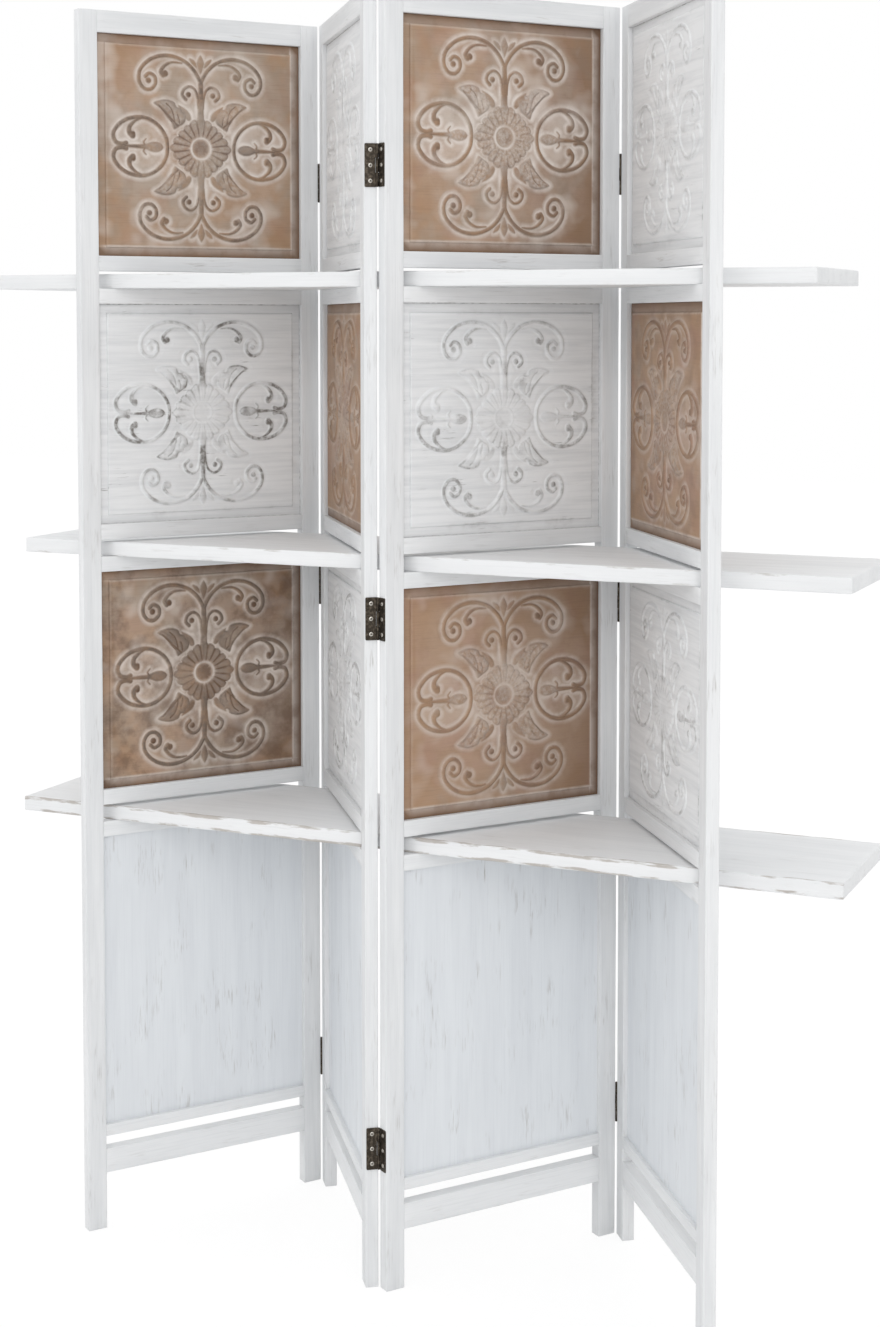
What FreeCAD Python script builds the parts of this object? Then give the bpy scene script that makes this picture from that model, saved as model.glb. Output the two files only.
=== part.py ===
import FreeCAD, Part
import os
import re

import Sketcher

# A folding screen of four framed panels that stands in a zigzag, with three long planks pushed through
# slots in all four panels as shelves. X runs along the planks, -Y is the front and Z is up. The origin is
# on the floor, under the middle of the zigzag.

# The driving dimensions, in millimetres and degrees.
SIZES = {
    # One panel's frame. Odd panels lead back to the right, even panels lead forward to the right.
    "panel_height": 1700.0,
    "panel_width": 364.0,
    "frame_thickness": 17.0,
    "stile_width": 27.0,
    "fold_angle": 54.0,
    "top_rail_height": 30.0,
    "carved_opening": 305.0,
    "shelf_rail_height": 21.0,
    "slot_height": 24.0,
    "lower_rail_height": 16.0,
    "foot_gap": 18.0,
    "bottom_rail_height": 34.0,
    "foot_height": 79.0,
    "foot_chamfer": 2.0,
    # Joinery: stub tenons on the rails, grooves for the boards.
    "tenon_length": 12.0,
    "tenon_thickness": 6.0,
    "tenon_shoulder": 5.0,
    "mortise_gap": 0.5,
    "groove_depth": 5.0,
    "groove_clearance": 0.1,
    # Boards: a thin tongue round a thicker raised field. The lower board is flat.
    "tongue_thickness": 4.0,
    "tongue_clearance": 0.5,
    "field_margin": 12.5,
    "field_thickness": 9.0,
    "field_bevel": 1.5,
    # Planks.
    "shelf_length": 1180.0,
    "shelf_depth": 220.0,
    "shelf_thickness": 20.0,
    "shelf_arris": 1.5,
    "shelf_setback": 30.0,
    "top_shelf_shift": -23.0,
    "middle_shelf_shift": 23.0,
    "bottom_shelf_shift": 16.0,
    # Hinges, three to a junction. The pin stands off the stile's edge and off its face.
    "axis_from_edge": 2.0,
    "axis_from_face": 0.3,
    "hinge_height": 56.0,
    "top_hinge_drop": 225.0,
    "middle_hinge_drop": 39.0,
    "bottom_hinge_rise": 40.0,
    "leaf_width": 16.0,
    "leaf_thickness": 1.2,
    "leaf_setback": 0.5,
    "leaf_lap": 1.0,
    "knuckle_radius": 1.9,
    "knuckle_gap": 0.3,
    "pin_radius": 1.0,
    "pin_clearance": 0.05,
    "screw_spacing": 20.0,
    "screw_length": 13.0,
    "screw_shank_radius": 1.4,
    "screw_head_radius": 2.7,
    "screw_clearance": 0.05,
    "pilot_gap": 0.5,
}

SHELVES = ("top", "middle", "bottom")
KNUCKLES = 3
SCREW_STEPS = (-1, 0, 1)

# The small round pieces are many, so they are prisms with few sides.
BARREL_SIDES = 12
SCREW_SIDES = 8

doc = FreeCAD.newDocument("FoldingScreen")
sheet = doc.addObject("Spreadsheet::Sheet", "Sizes")
for row, (alias, value) in enumerate(SIZES.items(), start=1):
    sheet.set(f"A{row}", str(value))
    sheet.setAlias(f"A{row}", alias)
doc.recompute()


def formula(text):
    """An expression on the sheet, from text that uses the sizes' bare names."""
    return re.sub(r"[a-z_]+", lambda m: f"Sizes.{m[0]}" if m[0] in SIZES else m[0], text)


def bind(obj, **sizes):
    for name, text in sizes.items():
        obj.setExpression(name, formula(text))
    return obj


def place(obj, x="0", y="0", z="0", turn=None):
    """Binds where an object stands and, if it is turned, its angle about the vertical."""
    for axis, text in zip("xyz", (x, y, z)):
        obj.setExpression(f"Placement.Base.{axis}", formula(text))
    if turn is not None:
        obj.Placement = FreeCAD.Placement(FreeCAD.Vector(), FreeCAD.Rotation(FreeCAD.Vector(0, 0, 1), 1))
        obj.setExpression("Placement.Rotation.Angle", formula(turn))
    return obj


def box(name, length, width, height, x="0", y="0", z="0"):
    made = doc.addObject("Part::Box", name)
    bind(made, Length=length, Width=width, Height=height)
    return place(made, x, y, z)


def prism(name, sides, radius, height, z="0"):
    """An upright prism with its corners at the radius."""
    made = doc.addObject("Part::Prism", name)
    made.Polygon = sides
    bind(made, Circumradius=radius, Height=height)
    return place(made, z=z)


def countersunk(name, clearance):
    """An upright screw head, wide at its foot, with a clearance all round it."""
    rings = []
    for radius, z in (("screw_head_radius", "0"), ("screw_shank_radius", "leaf_thickness")):
        ring = doc.addObject("Part::RegularPolygon", f"{name}_ring")
        ring.Polygon = SCREW_SIDES
        bind(ring, Circumradius=f"{radius} + {clearance}")
        rings.append(place(ring, z=z))
    made = doc.addObject("Part::Loft", name)
    made.Sections = rings
    made.Solid = True
    made.Ruled = True
    return made


def lying(obj):
    """Lays an upright piece down along +X."""
    obj.Placement = FreeCAD.Placement(FreeCAD.Vector(), FreeCAD.Rotation(FreeCAD.Vector(0, 1, 0), 90))
    return obj


def joined(name, pieces):
    made = doc.addObject("Part::MultiFuse", name)
    made.Shapes = pieces
    made.Refine = True
    return made


def cut(name, base, tool):
    made = doc.addObject("Part::Cut", name)
    made.Base = base
    made.Tool = tool
    made.Refine = True
    return made


def copy(name, sources, x="0", y="0", z="0", turn=None):
    """A placed copy of one piece, or a group of separate pieces kept together."""
    made = doc.addObject("Part::Compound", name)
    made.Links = sources
    return place(made, x, y, z, turn)


def rectangle(body, name, role, width, height):
    """A sketched rectangle centred on the body's origin, on one of its origin planes."""
    sketch = body.newObject("Sketcher::SketchObject", name)
    plane = next(f for f in body.Origin.OriginFeatures if f.Role == role)
    sketch.AttachmentSupport = [(plane, "")]
    sketch.MapMode = "FlatFace"
    corners = [FreeCAD.Vector(x, y, 0) for x, y in ((-9, -9), (9, -9), (9, 9), (-9, 9))]
    for i in range(4):
        sketch.addGeometry(Part.LineSegment(corners[i], corners[(i + 1) % 4]), False)
    for i in range(4):
        sketch.addConstraint(Sketcher.Constraint("Coincident", i, 2, (i + 1) % 4, 1))
        sketch.addConstraint(Sketcher.Constraint("Vertical" if i % 2 else "Horizontal", i))
    sketch.addConstraint(Sketcher.Constraint("Symmetric", 0, 1, 1, 2, -1, 1))
    for kind, line, text in (("DistanceX", 0, width), ("DistanceY", 1, height)):
        index = sketch.addConstraint(Sketcher.Constraint(kind, line, 1, line, 2, 18.0))
        sketch.setExpression(f"Constraints[{index}]", formula(text))
    return sketch


def pad(body, name, sketch, length, both_ways=False):
    made = body.newObject("PartDesign::Pad", name)
    made.Profile = sketch
    made.SideType = "Symmetric" if both_ways else "One side"
    bind(made, Length=length)
    doc.recompute()
    return made


def chamfer(body, name, base, size, chosen):
    """A chamfer on the edges of a feature that chosen picks out."""
    made = body.newObject("PartDesign::Chamfer", name)
    made.Base = (base, [f"Edge{i}" for i, edge in enumerate(base.Shape.Edges, start=1) if chosen(edge)])
    return bind(made, Size=size)


# Heights of the frame's members, from the floor. A band is a plank's slot with a rail below and above it.
BAND = "(2 * shelf_rail_height + slot_height)"
Z_TOP_RAIL = "(panel_height - top_rail_height)"
Z_FOOT_GAP = "(foot_height + bottom_rail_height)"
Z_LOWER_RAIL = f"({Z_FOOT_GAP} + foot_gap)"
Z_LOWER_BOARD = f"({Z_LOWER_RAIL} + lower_rail_height)"
Z_CARVED = [f"({Z_TOP_RAIL} - {i + 1} * carved_opening - {i} * {BAND})" for i in range(len(SHELVES))]
Z_BAND = [f"({z} - {BAND})" for z in Z_CARVED]
LOWER_OPENING = f"({Z_BAND[-1]} - {Z_LOWER_BOARD})"
OPENING_WIDTH = "(panel_width - 2 * stile_width)"
BOARD_WIDTH = f"({OPENING_WIDTH} + 2 * groove_depth - 2 * tongue_clearance)"
GROOVE_WIDTH = "(tongue_thickness + 2 * groove_clearance)"

# A junction's hinges: one below the top, one under the middle plank's slot and one just above the lower rail.
HINGE_CENTRES = (
    "(panel_height - top_hinge_drop)",
    f"({Z_BAND[1]} - middle_hinge_drop)",
    f"({Z_LOWER_BOARD} + bottom_hinge_rise)",
)

# Every rail between the stiles: its foot and its height.
RAILS = [(Z_TOP_RAIL, "top_rail_height")]
for band in Z_BAND:
    RAILS.append((f"({band} + shelf_rail_height + slot_height)", "shelf_rail_height"))
    RAILS.append((band, "shelf_rail_height"))
RAILS.append((Z_LOWER_RAIL, "lower_rail_height"))
RAILS.append(("foot_height", "bottom_rail_height"))

# Every board's opening: its foot and its height.
OPENINGS = [(z, "carved_opening") for z in Z_CARVED] + [(Z_LOWER_BOARD, LOWER_OPENING)]


def at_hinges(name, piece, steps=(0,), x="0", y="0", turn=None):
    """A group of one piece repeated at the three hinges of a junction, or at each of their screws."""
    copies = []
    for centre in HINGE_CENTRES:
        for step in steps:
            copies.append(copy(f"{name}_copy", [piece], x, y, f"{centre} + {step} * screw_spacing", turn))
    return copy(name, copies)


def stile(name, hinged):
    """A full-height upright, centred on its own axis, with its joinery on the +X edge. A hinged one has
    pilot holes for the hinge screws in its -X edge."""
    body = doc.addObject("PartDesign::Body", f"{name}_blank")
    outline = rectangle(body, f"{name}_section", "XY_Plane", "stile_width", "frame_thickness")
    upright = pad(body, f"{name}_upright", outline, "panel_height")
    chamfer(
        body, f"{name}_foot", upright, "foot_chamfer",
        lambda edge: max(v.Z for v in edge.Vertexes) < 1e-6,
    )
    cutters = []
    for i, (z, height) in enumerate(RAILS):
        depth = "(tenon_length + mortise_gap)"
        cutters.append(
            box(
                f"{name}_mortise_{i}", depth, "tenon_thickness", f"{height} - 2 * tenon_shoulder",
                f"stile_width / 2 - {depth}", "-tenon_thickness / 2", f"{z} + tenon_shoulder",
            )
        )
    for i, (z, height) in enumerate(OPENINGS):
        cutters.append(
            box(
                f"{name}_groove_{i}", "groove_depth", GROOVE_WIDTH, f"{height} + 2 * groove_depth",
                "stile_width / 2 - groove_depth", f"-{GROOVE_WIDTH} / 2", f"{z} - groove_depth",
            )
        )
    if hinged:
        depth = "screw_length - leaf_thickness + pilot_gap"
        pilot = lying(prism(f"{name}_pilot", SCREW_SIDES, "screw_shank_radius", depth))
        cutters.append(at_hinges(f"{name}_pilots", pilot, SCREW_STEPS, "-stile_width / 2"))
    return cut(name, body, joined(f"{name}_joinery", cutters))


def rail(name, height, groove):
    """A rail between two stiles, from its front left foot, with a stub tenon at each end and a groove for a
    board along its upper or lower edge."""
    bar = box(f"{name}_bar", OPENING_WIDTH, "frame_thickness", height)
    tenons = box(
        f"{name}_tenons", f"{OPENING_WIDTH} + 2 * tenon_length", "tenon_thickness",
        f"{height} - 2 * tenon_shoulder", "-tenon_length",
        "(frame_thickness - tenon_thickness) / 2", "tenon_shoulder",
    )
    whole = joined(f"{name}_whole", [bar, tenons])
    if groove is None:
        return whole
    channel = box(
        f"{name}_channel", OPENING_WIDTH, GROOVE_WIDTH, "groove_depth", "0",
        f"(frame_thickness - {GROOVE_WIDTH}) / 2", f"{height} - groove_depth" if groove == "above" else "0",
    )
    return cut(name, whole, channel)


def board(name, opening, fielded):
    """A board that sits in the grooves, centred on its own middle. A fielded one is thicker inside a flat
    margin, on both faces."""
    body = doc.addObject("PartDesign::Body", name)
    height = f"({opening} + 2 * groove_depth - tongue_clearance)"
    outline = rectangle(body, f"{name}_outline", "XZ_Plane", BOARD_WIDTH, height)
    pad(body, f"{name}_tongue", outline, "tongue_thickness", both_ways=True)
    if fielded:
        field = rectangle(
            body, f"{name}_field", "XZ_Plane",
            f"{OPENING_WIDTH} - 2 * field_margin", f"{opening} - 2 * field_margin",
        )
        raised = pad(body, f"{name}_raised", field, "field_thickness", both_ways=True)
        crest = max(v.Y for v in raised.Shape.Vertexes)
        chamfer(
            body, f"{name}_bevel", raised, "field_bevel",
            lambda edge: min(abs(v.Y) for v in edge.Vertexes) > crest - 1e-6,
        )
    return body


# Where a leaf's screw heads lie, from the pin's axis, and which way the screws point: the left leaf's to the
# left and the right leaf's to the right.
SCREW_Y = "-axis_from_face - frame_thickness / 2"
SCREW_SEAT = {
    -1: ("-axis_from_edge + leaf_thickness", SCREW_Y),
    1: ("axis_from_edge - leaf_thickness", SCREW_Y),
}
SCREW_TURN = {-1: "180", 1: "0"}
# How far from the pin's axis a plate starts.
NEAR = "(knuckle_radius + leaf_setback)"


def leaf(name, side, own):
    """One hinge leaf about its pin's axis at the origin, with its plate on the stile to its left (side -1) or
    right (side 1), behind a rear pin. own lists the knuckles, from below, that belong to this leaf."""
    inner = "-axis_from_edge" if side < 0 else "(axis_from_edge - leaf_thickness)"
    pitch = f"(hinge_height / {KNUCKLES})"
    plate = box(
        f"{name}_plate", "leaf_thickness", f"axis_from_face + leaf_width - {NEAR}", "hinge_height",
        inner, "-axis_from_face - leaf_width", "-hinge_height / 2",
    )
    pieces = [plate]
    for i in own:
        foot = f"-hinge_height / 2 + {i} * {pitch} + knuckle_gap / 2"
        pieces.append(
            prism(f"{name}_knuckle_{i}", BARREL_SIDES, "knuckle_radius", f"{pitch} - knuckle_gap", foot)
        )
        pieces.append(
            box(
                f"{name}_lap_{i}", "leaf_thickness", "leaf_setback + leaf_lap", f"{pitch} - knuckle_gap",
                inner, f"-{NEAR}", foot,
            )
        )
    bore = f"(pin_radius + pin_clearance) / cos(180 / {BARREL_SIDES})"
    holes = [prism(f"{name}_bore", BARREL_SIDES, bore, "hinge_height", "-hinge_height / 2")]
    sink = lying(countersunk(f"{name}_sink", "screw_clearance"))
    for step in SCREW_STEPS:
        holes.append(
            copy(f"{name}_hole", [sink], *SCREW_SEAT[side], f"{step} * screw_spacing", SCREW_TURN[side])
        )
    return cut(name, joined(f"{name}_solid", pieces), joined(f"{name}_holes", holes))


def shelf(name, shift, band):
    """A plank that lies on the lower rail of its band, along X, with its long arrises eased."""
    body = doc.addObject("PartDesign::Body", name)
    outline = rectangle(body, f"{name}_outline", "XY_Plane", "shelf_length", "shelf_depth")
    plank = pad(body, f"{name}_plank", outline, "shelf_thickness")
    chamfer(
        body, f"{name}_eased", plank, "shelf_arris",
        lambda edge: abs(edge.Vertexes[0].X - edge.Vertexes[-1].X) > 1.0,
    )
    return place(body, shift, f"-{REACH} + shelf_setback + shelf_depth / 2", f"{band} + shelf_rail_height")


# The hinge axes in plan: the middle one in front, the outer two behind, all at the same reach from Y = 0.
SPAN_X = "(panel_width + 2 * axis_from_edge)"
SPAN_Y = "(frame_thickness + 2 * axis_from_face)"
STRIDE = f"({SPAN_X} * cos(fold_angle) + {SPAN_Y} * sin(fold_angle))"
REACH = f"(({SPAN_X} * sin(fold_angle) - {SPAN_Y} * cos(fold_angle)) / 2)"
AXES = {"left": (f"-{STRIDE}", REACH), "middle": ("0", f"-{REACH}"), "right": (STRIDE, REACH)}

# Each panel: the axis it hangs on, which way it turns, and its front left foot in its own directions from
# that axis.
FAR = "-(panel_width + axis_from_edge)"
BEHIND = "-(frame_thickness + axis_from_face)"
PANELS = {
    "panel_1": ("left", 1, FAR, "axis_from_face"),
    "panel_2": ("middle", -1, FAR, BEHIND),
    "panel_3": ("middle", 1, "axis_from_edge", BEHIND),
    "panel_4": ("right", -1, "axis_from_edge", "axis_from_face"),
}


def in_panel(label, piece, panel, u, n, z, about_face=False):
    """A copy of a piece in a panel, u along the panel from its left foot and n back from its front face."""
    axis, way, corner_u, corner_n = PANELS[panel]
    across, deep = f"({corner_u} + {u})", f"({corner_n} + {n})"
    turn = f"{way} * fold_angle" + (" + 180" if about_face else "")
    axis_x, axis_y = AXES[axis]
    x = f"{axis_x} + {across} * cos(fold_angle) - {way} * {deep} * sin(fold_angle)"
    y = f"{axis_y} + {way} * {across} * sin(fold_angle) + {deep} * cos(fold_angle)"
    subparts.append(copy(label, [piece], x, y, z, turn))


def on_axis(label, piece, axis, panel_way, about_face=False):
    """A copy of a hinge piece about one of the three axes, turned with the panel that carries it."""
    turn = f"{panel_way} * fold_angle" + (" + 180" if about_face else "")
    subparts.append(copy(label, [piece], *AXES[axis], "0", turn))


# The pieces that repeat, each modelled once.
plain_stile = stile("plain_stile", hinged=False)
hinged_stile = stile("hinged_stile", hinged=True)
top_rail = rail("top_rail", "top_rail_height", "below")
rail_under_board = rail("rail_under_board", "shelf_rail_height", "above")
rail_over_board = rail("rail_over_board", "shelf_rail_height", "below")
lower_rail = rail("lower_rail", "lower_rail_height", "above")
bottom_rail = rail("bottom_rail", "bottom_rail_height", None)
carved_board = board("carved_board", "carved_opening", fielded=True)
lower_board = board("lower_board", LOWER_OPENING, fielded=False)
shelf_rails = []
for band in Z_BAND:
    shelf_rails.append(copy("lower_slot_rail", [rail_over_board], z=band))
    upper_z = f"{band} + shelf_rail_height + slot_height"
    shelf_rails.append(copy("upper_slot_rail", [rail_under_board], z=upper_z))
shelf_rails = copy("shelf_rails", shelf_rails)

long_leaves = at_hinges("long_leaves", leaf("long_leaf", -1, range(0, KNUCKLES, 2)))
short_leaves = at_hinges("short_leaves", leaf("short_leaf", 1, range(1, KNUCKLES, 2)))
pins = at_hinges("pins", prism("pin", BARREL_SIDES, "pin_radius", "hinge_height", "-hinge_height / 2"))
shank = prism("shank", SCREW_SIDES, "screw_shank_radius", "screw_length")
screw = lying(joined("screw", [countersunk("screw_head", "0"), shank]))
long_screws = at_hinges("long_screws", screw, SCREW_STEPS, *SCREW_SEAT[-1], SCREW_TURN[-1])
short_screws = at_hinges("short_screws", screw, SCREW_STEPS, *SCREW_SEAT[1], SCREW_TURN[1])

# The four panels.
subparts = []
for panel in PANELS:
    left_end = plain_stile if panel == "panel_1" else hinged_stile
    right_end = plain_stile if panel == "panel_4" else hinged_stile
    half = "frame_thickness / 2"
    in_panel(f"{panel}_left_stile", left_end, panel, "stile_width / 2", half, "0")
    in_panel(f"{panel}_right_stile", right_end, panel, "panel_width - stile_width / 2", half, "0", True)
    in_panel(f"{panel}_top_rail", top_rail, panel, "stile_width", "0", Z_TOP_RAIL)
    in_panel(f"{panel}_shelf_rails", shelf_rails, panel, "stile_width", "0", "0")
    in_panel(f"{panel}_lower_rail", lower_rail, panel, "stile_width", "0", Z_LOWER_RAIL)
    in_panel(f"{panel}_bottom_rail", bottom_rail, panel, "stile_width", "0", "foot_height")
    for place_name, (z, height) in zip((*SHELVES, "lower"), OPENINGS):
        lower = place_name == "lower"
        node = f"{panel}_lower_board" if lower else f"{panel}_{place_name}_carved_board"
        middle = f"{z} + ({height} - tongue_clearance) / 2"
        in_panel(node, lower_board if lower else carved_board, panel, "panel_width / 2", half, middle)

# The hinges. The middle junction's pins are behind the panels, and the outer junctions' are in front, which
# is the same hinge turned about.
on_axis("middle_hinge_pins", pins, "middle", 0)
on_axis("middle_hinge_long_leaves", long_leaves, "middle", -1)
on_axis("middle_hinge_long_screws", long_screws, "middle", -1)
on_axis("middle_hinge_short_leaves", short_leaves, "middle", 1)
on_axis("middle_hinge_short_screws", short_screws, "middle", 1)
for axis in ("left", "right"):
    on_axis(f"{axis}_hinge_pins", pins, axis, 0)
    on_axis(f"{axis}_hinge_long_leaves", long_leaves, axis, -1, True)
    on_axis(f"{axis}_hinge_long_screws", long_screws, axis, -1, True)
    on_axis(f"{axis}_hinge_short_leaves", short_leaves, axis, 1, True)
    on_axis(f"{axis}_hinge_short_screws", short_screws, axis, 1, True)

# The planks.
for name, band in zip(SHELVES, Z_BAND):
    subparts.append(shelf(f"{name}_shelf", f"{name}_shelf_shift", band))

doc.recompute()
for obj in doc.Objects:
    if "Invalid" in obj.State or "Error" in obj.State:
        raise RuntimeError(f"{obj.Label} failed: {obj.State}")
for part in subparts:
    if part.Shape.isNull() or not part.Shape.isValid() or not part.Shape.Solids:
        raise RuntimeError(f"{part.Label} has no valid solid")

os.makedirs("parts", exist_ok=True)
for part in subparts:
    part.Shape.exportStep(f"parts/{part.Label}.step")
print(len(subparts), "sub-parts,", sum(len(part.Shape.Solids) for part in subparts), "solids")
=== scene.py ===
from math import cos, pi, radians, sin, sqrt

import bmesh
import bpy
import numpy as np
from mathutils import Matrix, Vector, noise


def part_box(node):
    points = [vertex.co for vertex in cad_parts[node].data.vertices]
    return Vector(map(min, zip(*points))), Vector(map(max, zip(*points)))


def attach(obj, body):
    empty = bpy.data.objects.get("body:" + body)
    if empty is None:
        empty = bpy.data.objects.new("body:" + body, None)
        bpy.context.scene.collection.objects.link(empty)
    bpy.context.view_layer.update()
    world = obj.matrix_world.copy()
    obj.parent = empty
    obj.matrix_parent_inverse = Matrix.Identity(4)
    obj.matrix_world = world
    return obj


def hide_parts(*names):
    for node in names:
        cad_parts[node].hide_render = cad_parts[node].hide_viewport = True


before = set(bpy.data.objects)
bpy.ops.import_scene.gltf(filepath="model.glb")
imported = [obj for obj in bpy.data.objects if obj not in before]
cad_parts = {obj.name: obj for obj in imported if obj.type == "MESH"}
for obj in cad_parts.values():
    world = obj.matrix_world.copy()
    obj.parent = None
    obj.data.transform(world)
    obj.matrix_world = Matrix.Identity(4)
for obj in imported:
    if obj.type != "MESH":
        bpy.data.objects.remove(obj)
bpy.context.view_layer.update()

bl_info = {
    "name": "Folding Screen",
    "version": (1, 0, 0),
    "blender": (4, 5, 0),
    "location": "View3D > Sidebar > Screen",
    "description": "Dresses a folding screen of carved panels with plank shelves",
    "category": "Object",
}

MM = 0.001
PANELS = ("panel_1", "panel_2", "panel_3", "panel_4")
LEVELS = ("top", "middle", "bottom")
AXES = X, Y, Z = 0, 1, 2

# Seeds of finishes and of rubbed edges. Like pieces count on from them, and a panel has nine rails.
STILE_FINISH, RAIL_FINISH, LOWER_FINISH, CARVED_FINISH, PLANK_FINISH = 1.0, 2.0, 30.0, 40.0, 50.0
RAIL_RUBBING, LOWER_RUBBING, PLANK_RUBBING = 20, 60, 80
RAILS = 9

# Points of a CAD mesh this close together are one point.
SAME_POINT = 1e-6

# Farther than anything on a board.
FAR = 1e9

# Faces that meet at more than these angles have a sharp edge between them.
SHARP_ANGLE = radians(50)
SHARP_CARVING_ANGLE = radians(60)

# The photograph's height, the row that its optical axis meets, and its focal length, all in pixels.
IMAGE_HEIGHT = 1327
AXIS_ROW = 438
FOCAL_PIXELS = 2128


def linear(code):
    """An sRGB hex colour as linear values."""
    channels = [int(code[i : i + 2], 16) / 255 for i in (0, 2, 4)]
    return tuple(c / 12.92 if c <= 0.04045 else ((c + 0.055) / 1.055) ** 2.4 for c in channels)


def colour(name, code, description):
    return bpy.props.FloatVectorProperty(
        name=name, description=description, subtype="COLOR", size=3, min=0, max=1, default=linear(code)
    )


def setting(name, default, description, subtype, **limits):
    return bpy.props.FloatProperty(
        name=name, description=description, subtype=subtype, default=default, **limits
    )


def length(name, millimetres, description):
    return setting(name, millimetres * MM, description, "DISTANCE", unit="LENGTH", min=0)


class WoodSettings(bpy.types.PropertyGroup):
    """The painted frames, lower boards and planks."""

    arris: length("Arris", 0.6, "Radius of the rubbed edges of the frame members")
    plank_arris: length("Plank arris", 1.5, "Radius of the planks' rubbed edges")
    fade: length("Wear width", 3.5, "How far wear reaches in from the edges of the frame members")
    plank_fade: length("Plank wear width", 9.0, "How far wear reaches in from the planks' edges")
    paint: colour("Paint", "e7e8e9", "White wash paint")
    shade: colour("Thin paint", "cfd1d3", "Paint where it is thin and the grain greys it")
    cool_paint: colour("Cool paint", "e3e6e9", "White wash on the lower boards")
    cool_shade: colour("Thin cool paint", "cccfd4", "Thin paint on the lower boards")
    scuff: colour("Scuff", "99938c", "Grey scuffs and dry brush marks")
    bare: colour("Bare wood", "94877a", "Wood where the paint has rubbed through")


class CarvingSettings(bpy.types.PropertyGroup):
    """The carved boards."""

    tongue: length("Tongue", 4.0, "Thickness of the margin that sits in the frame's grooves")
    groove: length("Groove", 4.5, "How deep the board sits in the frame")
    seam: length("Seam", 1.5, "Width of the shadow line beside the frame")
    field_margin: length("Margin", 12.5, "Flat margin between the frame and the raised field")
    bevel: length("Bevel", 1.5, "Width of the field's bevelled edge")
    relief: length("Relief", 1.7, "Height of the ornament above the field")
    trough: length("Trough", 1.1, "Depth of the ground that is cut away round the ornament")
    trough_width: length("Trough width", 7.0, "How far the cut ground reaches out from the ornament")
    filled: setting("Painted depth", 0.65, "Share of the depth that paint leaves", "FACTOR", min=0, max=1)
    grid: length("Grid", 1.1, "Spacing of the points that the carving is cut on")
    kept: setting("Kept faces", 0.28, "Share of faces left where carving is thinned", "FACTOR", min=0, max=1)
    stain: colour("Stain", "a58466", "Brown stain on the boards")
    grey_stain: colour("Grey stain", "9e8b78", "Brown stain where it has dried greyer")
    rose_stain: colour("Rose stain", "a37d69", "Reddish patches of the stain")
    # Real stain in the grain, wiping, veins and knobs, and painted shade in the margins, beside the frame and
    # to the right.
    dark_stain_and_shade: colour("Dark stain", "644a37", "Stain in the margins, veins and knobs")
    ridge_stain: colour("Ridge stain", "6c5d51", "Greyed stain on the rubbed ridges")
    # The wash colour also paints a highlight on the field's bevelled edge.
    wash: colour("Wash", "dad0c8", "Pale wash left round the ornament")
    # This grey also paints the shadow line beside the frame on the white boards.
    worn: colour("Worn white", "77736f", "Grey wood on the white boards' rubbed ornament")


class HingeSettings(bpy.types.PropertyGroup):
    """The butt hinges and their screws."""

    leaf_thickness: length("Leaf", 1.2, "Thickness of a leaf")
    leaf_setback: length("Setback", 0.5, "Gap between a leaf's plate and the barrel")
    knuckle: length("Knuckle", 1.9, "Outer radius of the barrel")
    knuckle_gap: length("Knuckle gap", 0.3, "Gap between two knuckles")
    bore: length("Bore", 1.05, "Radius of the barrel's bore")
    corner: length("Corner", 1.8, "Radius of a leaf's outer corners")
    head: length("Screw head", 2.7, "Radius of a screw head")
    bronze: colour("Bronze", "37312a", "Dark bronzed steel")
    rubbed: colour("Rubbed bronze", "6e6458", "Bronze where it is rubbed")
    steel: colour("Steel", "cfcbc3", "Bright zinc plated screws")


class StageSettings(bpy.types.PropertyGroup):
    """The floor, lights and camera."""

    camera: bpy.props.FloatVectorProperty(
        name="Camera", description="Where the camera stands", subtype="XYZ", unit="LENGTH", size=3,
        default=(1.1845, -2.6236, 1.2739),
    )
    yaw: setting("Yaw", radians(23.85), "How far the camera turns left from the back wall", "ANGLE")
    pitch: setting("Pitch", radians(3.12), "How far the camera looks down", "ANGLE")
    floor: colour("Floor", "f4f4f4", "Pale studio floor")


# Meshes


def linked(name, data):
    """An object of some data, in the scene."""
    obj = bpy.data.objects.new(name, data)
    bpy.context.scene.collection.objects.link(obj)
    return obj


def new_object(name, mesh, body, place, *replaced):
    """A piece that stands for CAD nodes and rides on their body."""
    obj = linked(name, mesh)
    obj.matrix_world = place
    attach(obj, body)
    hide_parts(*replaced)
    return obj


def set_values(mesh, values):
    """Sets numbers at a mesh's points, by name."""
    for name, numbers in values.items():
        attribute = mesh.attributes.new(name, "FLOAT", "POINT")
        attribute.data.foreach_set("value", np.asarray(numbers, dtype=np.float32))


def new_piece(node, made_of, parts, finish, body, place, drawn_in=Matrix()):
    """A CAD node's piece, from the points, faces and wear of its parts, which are drawn in a frame."""
    points, faces, wear = [], [], []
    for part_points, part_faces, part_wear in parts:
        start = len(points)
        points += [drawn_in @ Vector(point) for point in part_points]
        faces += [tuple(start + i for i in face) for face in part_faces]
        wear += part_wear
    mesh = bpy.data.meshes.new(f"{node}_mesh")
    mesh.from_pydata(points, [], faces)
    work = bmesh.new()
    work.from_mesh(mesh)
    bmesh.ops.recalc_face_normals(work, faces=work.faces)
    work.to_mesh(mesh)
    work.free()
    mesh.shade_smooth()
    mesh.set_sharp_from_angle(angle=SHARP_ANGLE)
    if wear:
        set_values(mesh, {"wear": wear})
    mesh.materials.append(finish)
    return new_object(f"{node}_{made_of}", mesh, body, place, node)


def panel_place(panel):
    """A panel's own frame: X along it to the right, Y from front to back, at the middle of its foot."""
    left, right = (
        sum((Vector(c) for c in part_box(f"{panel}_{side}_stile")), Vector()) / 2 for side in ("left", "right")
    )
    up = Vector((0, 0, 1))
    along = (right - left).normalized()
    middle = (left + right) / 2
    place = Matrix((along, up.cross(along), up)).transposed().to_4x4()
    place.translation = (middle.x, middle.y, 0)
    return place


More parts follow.
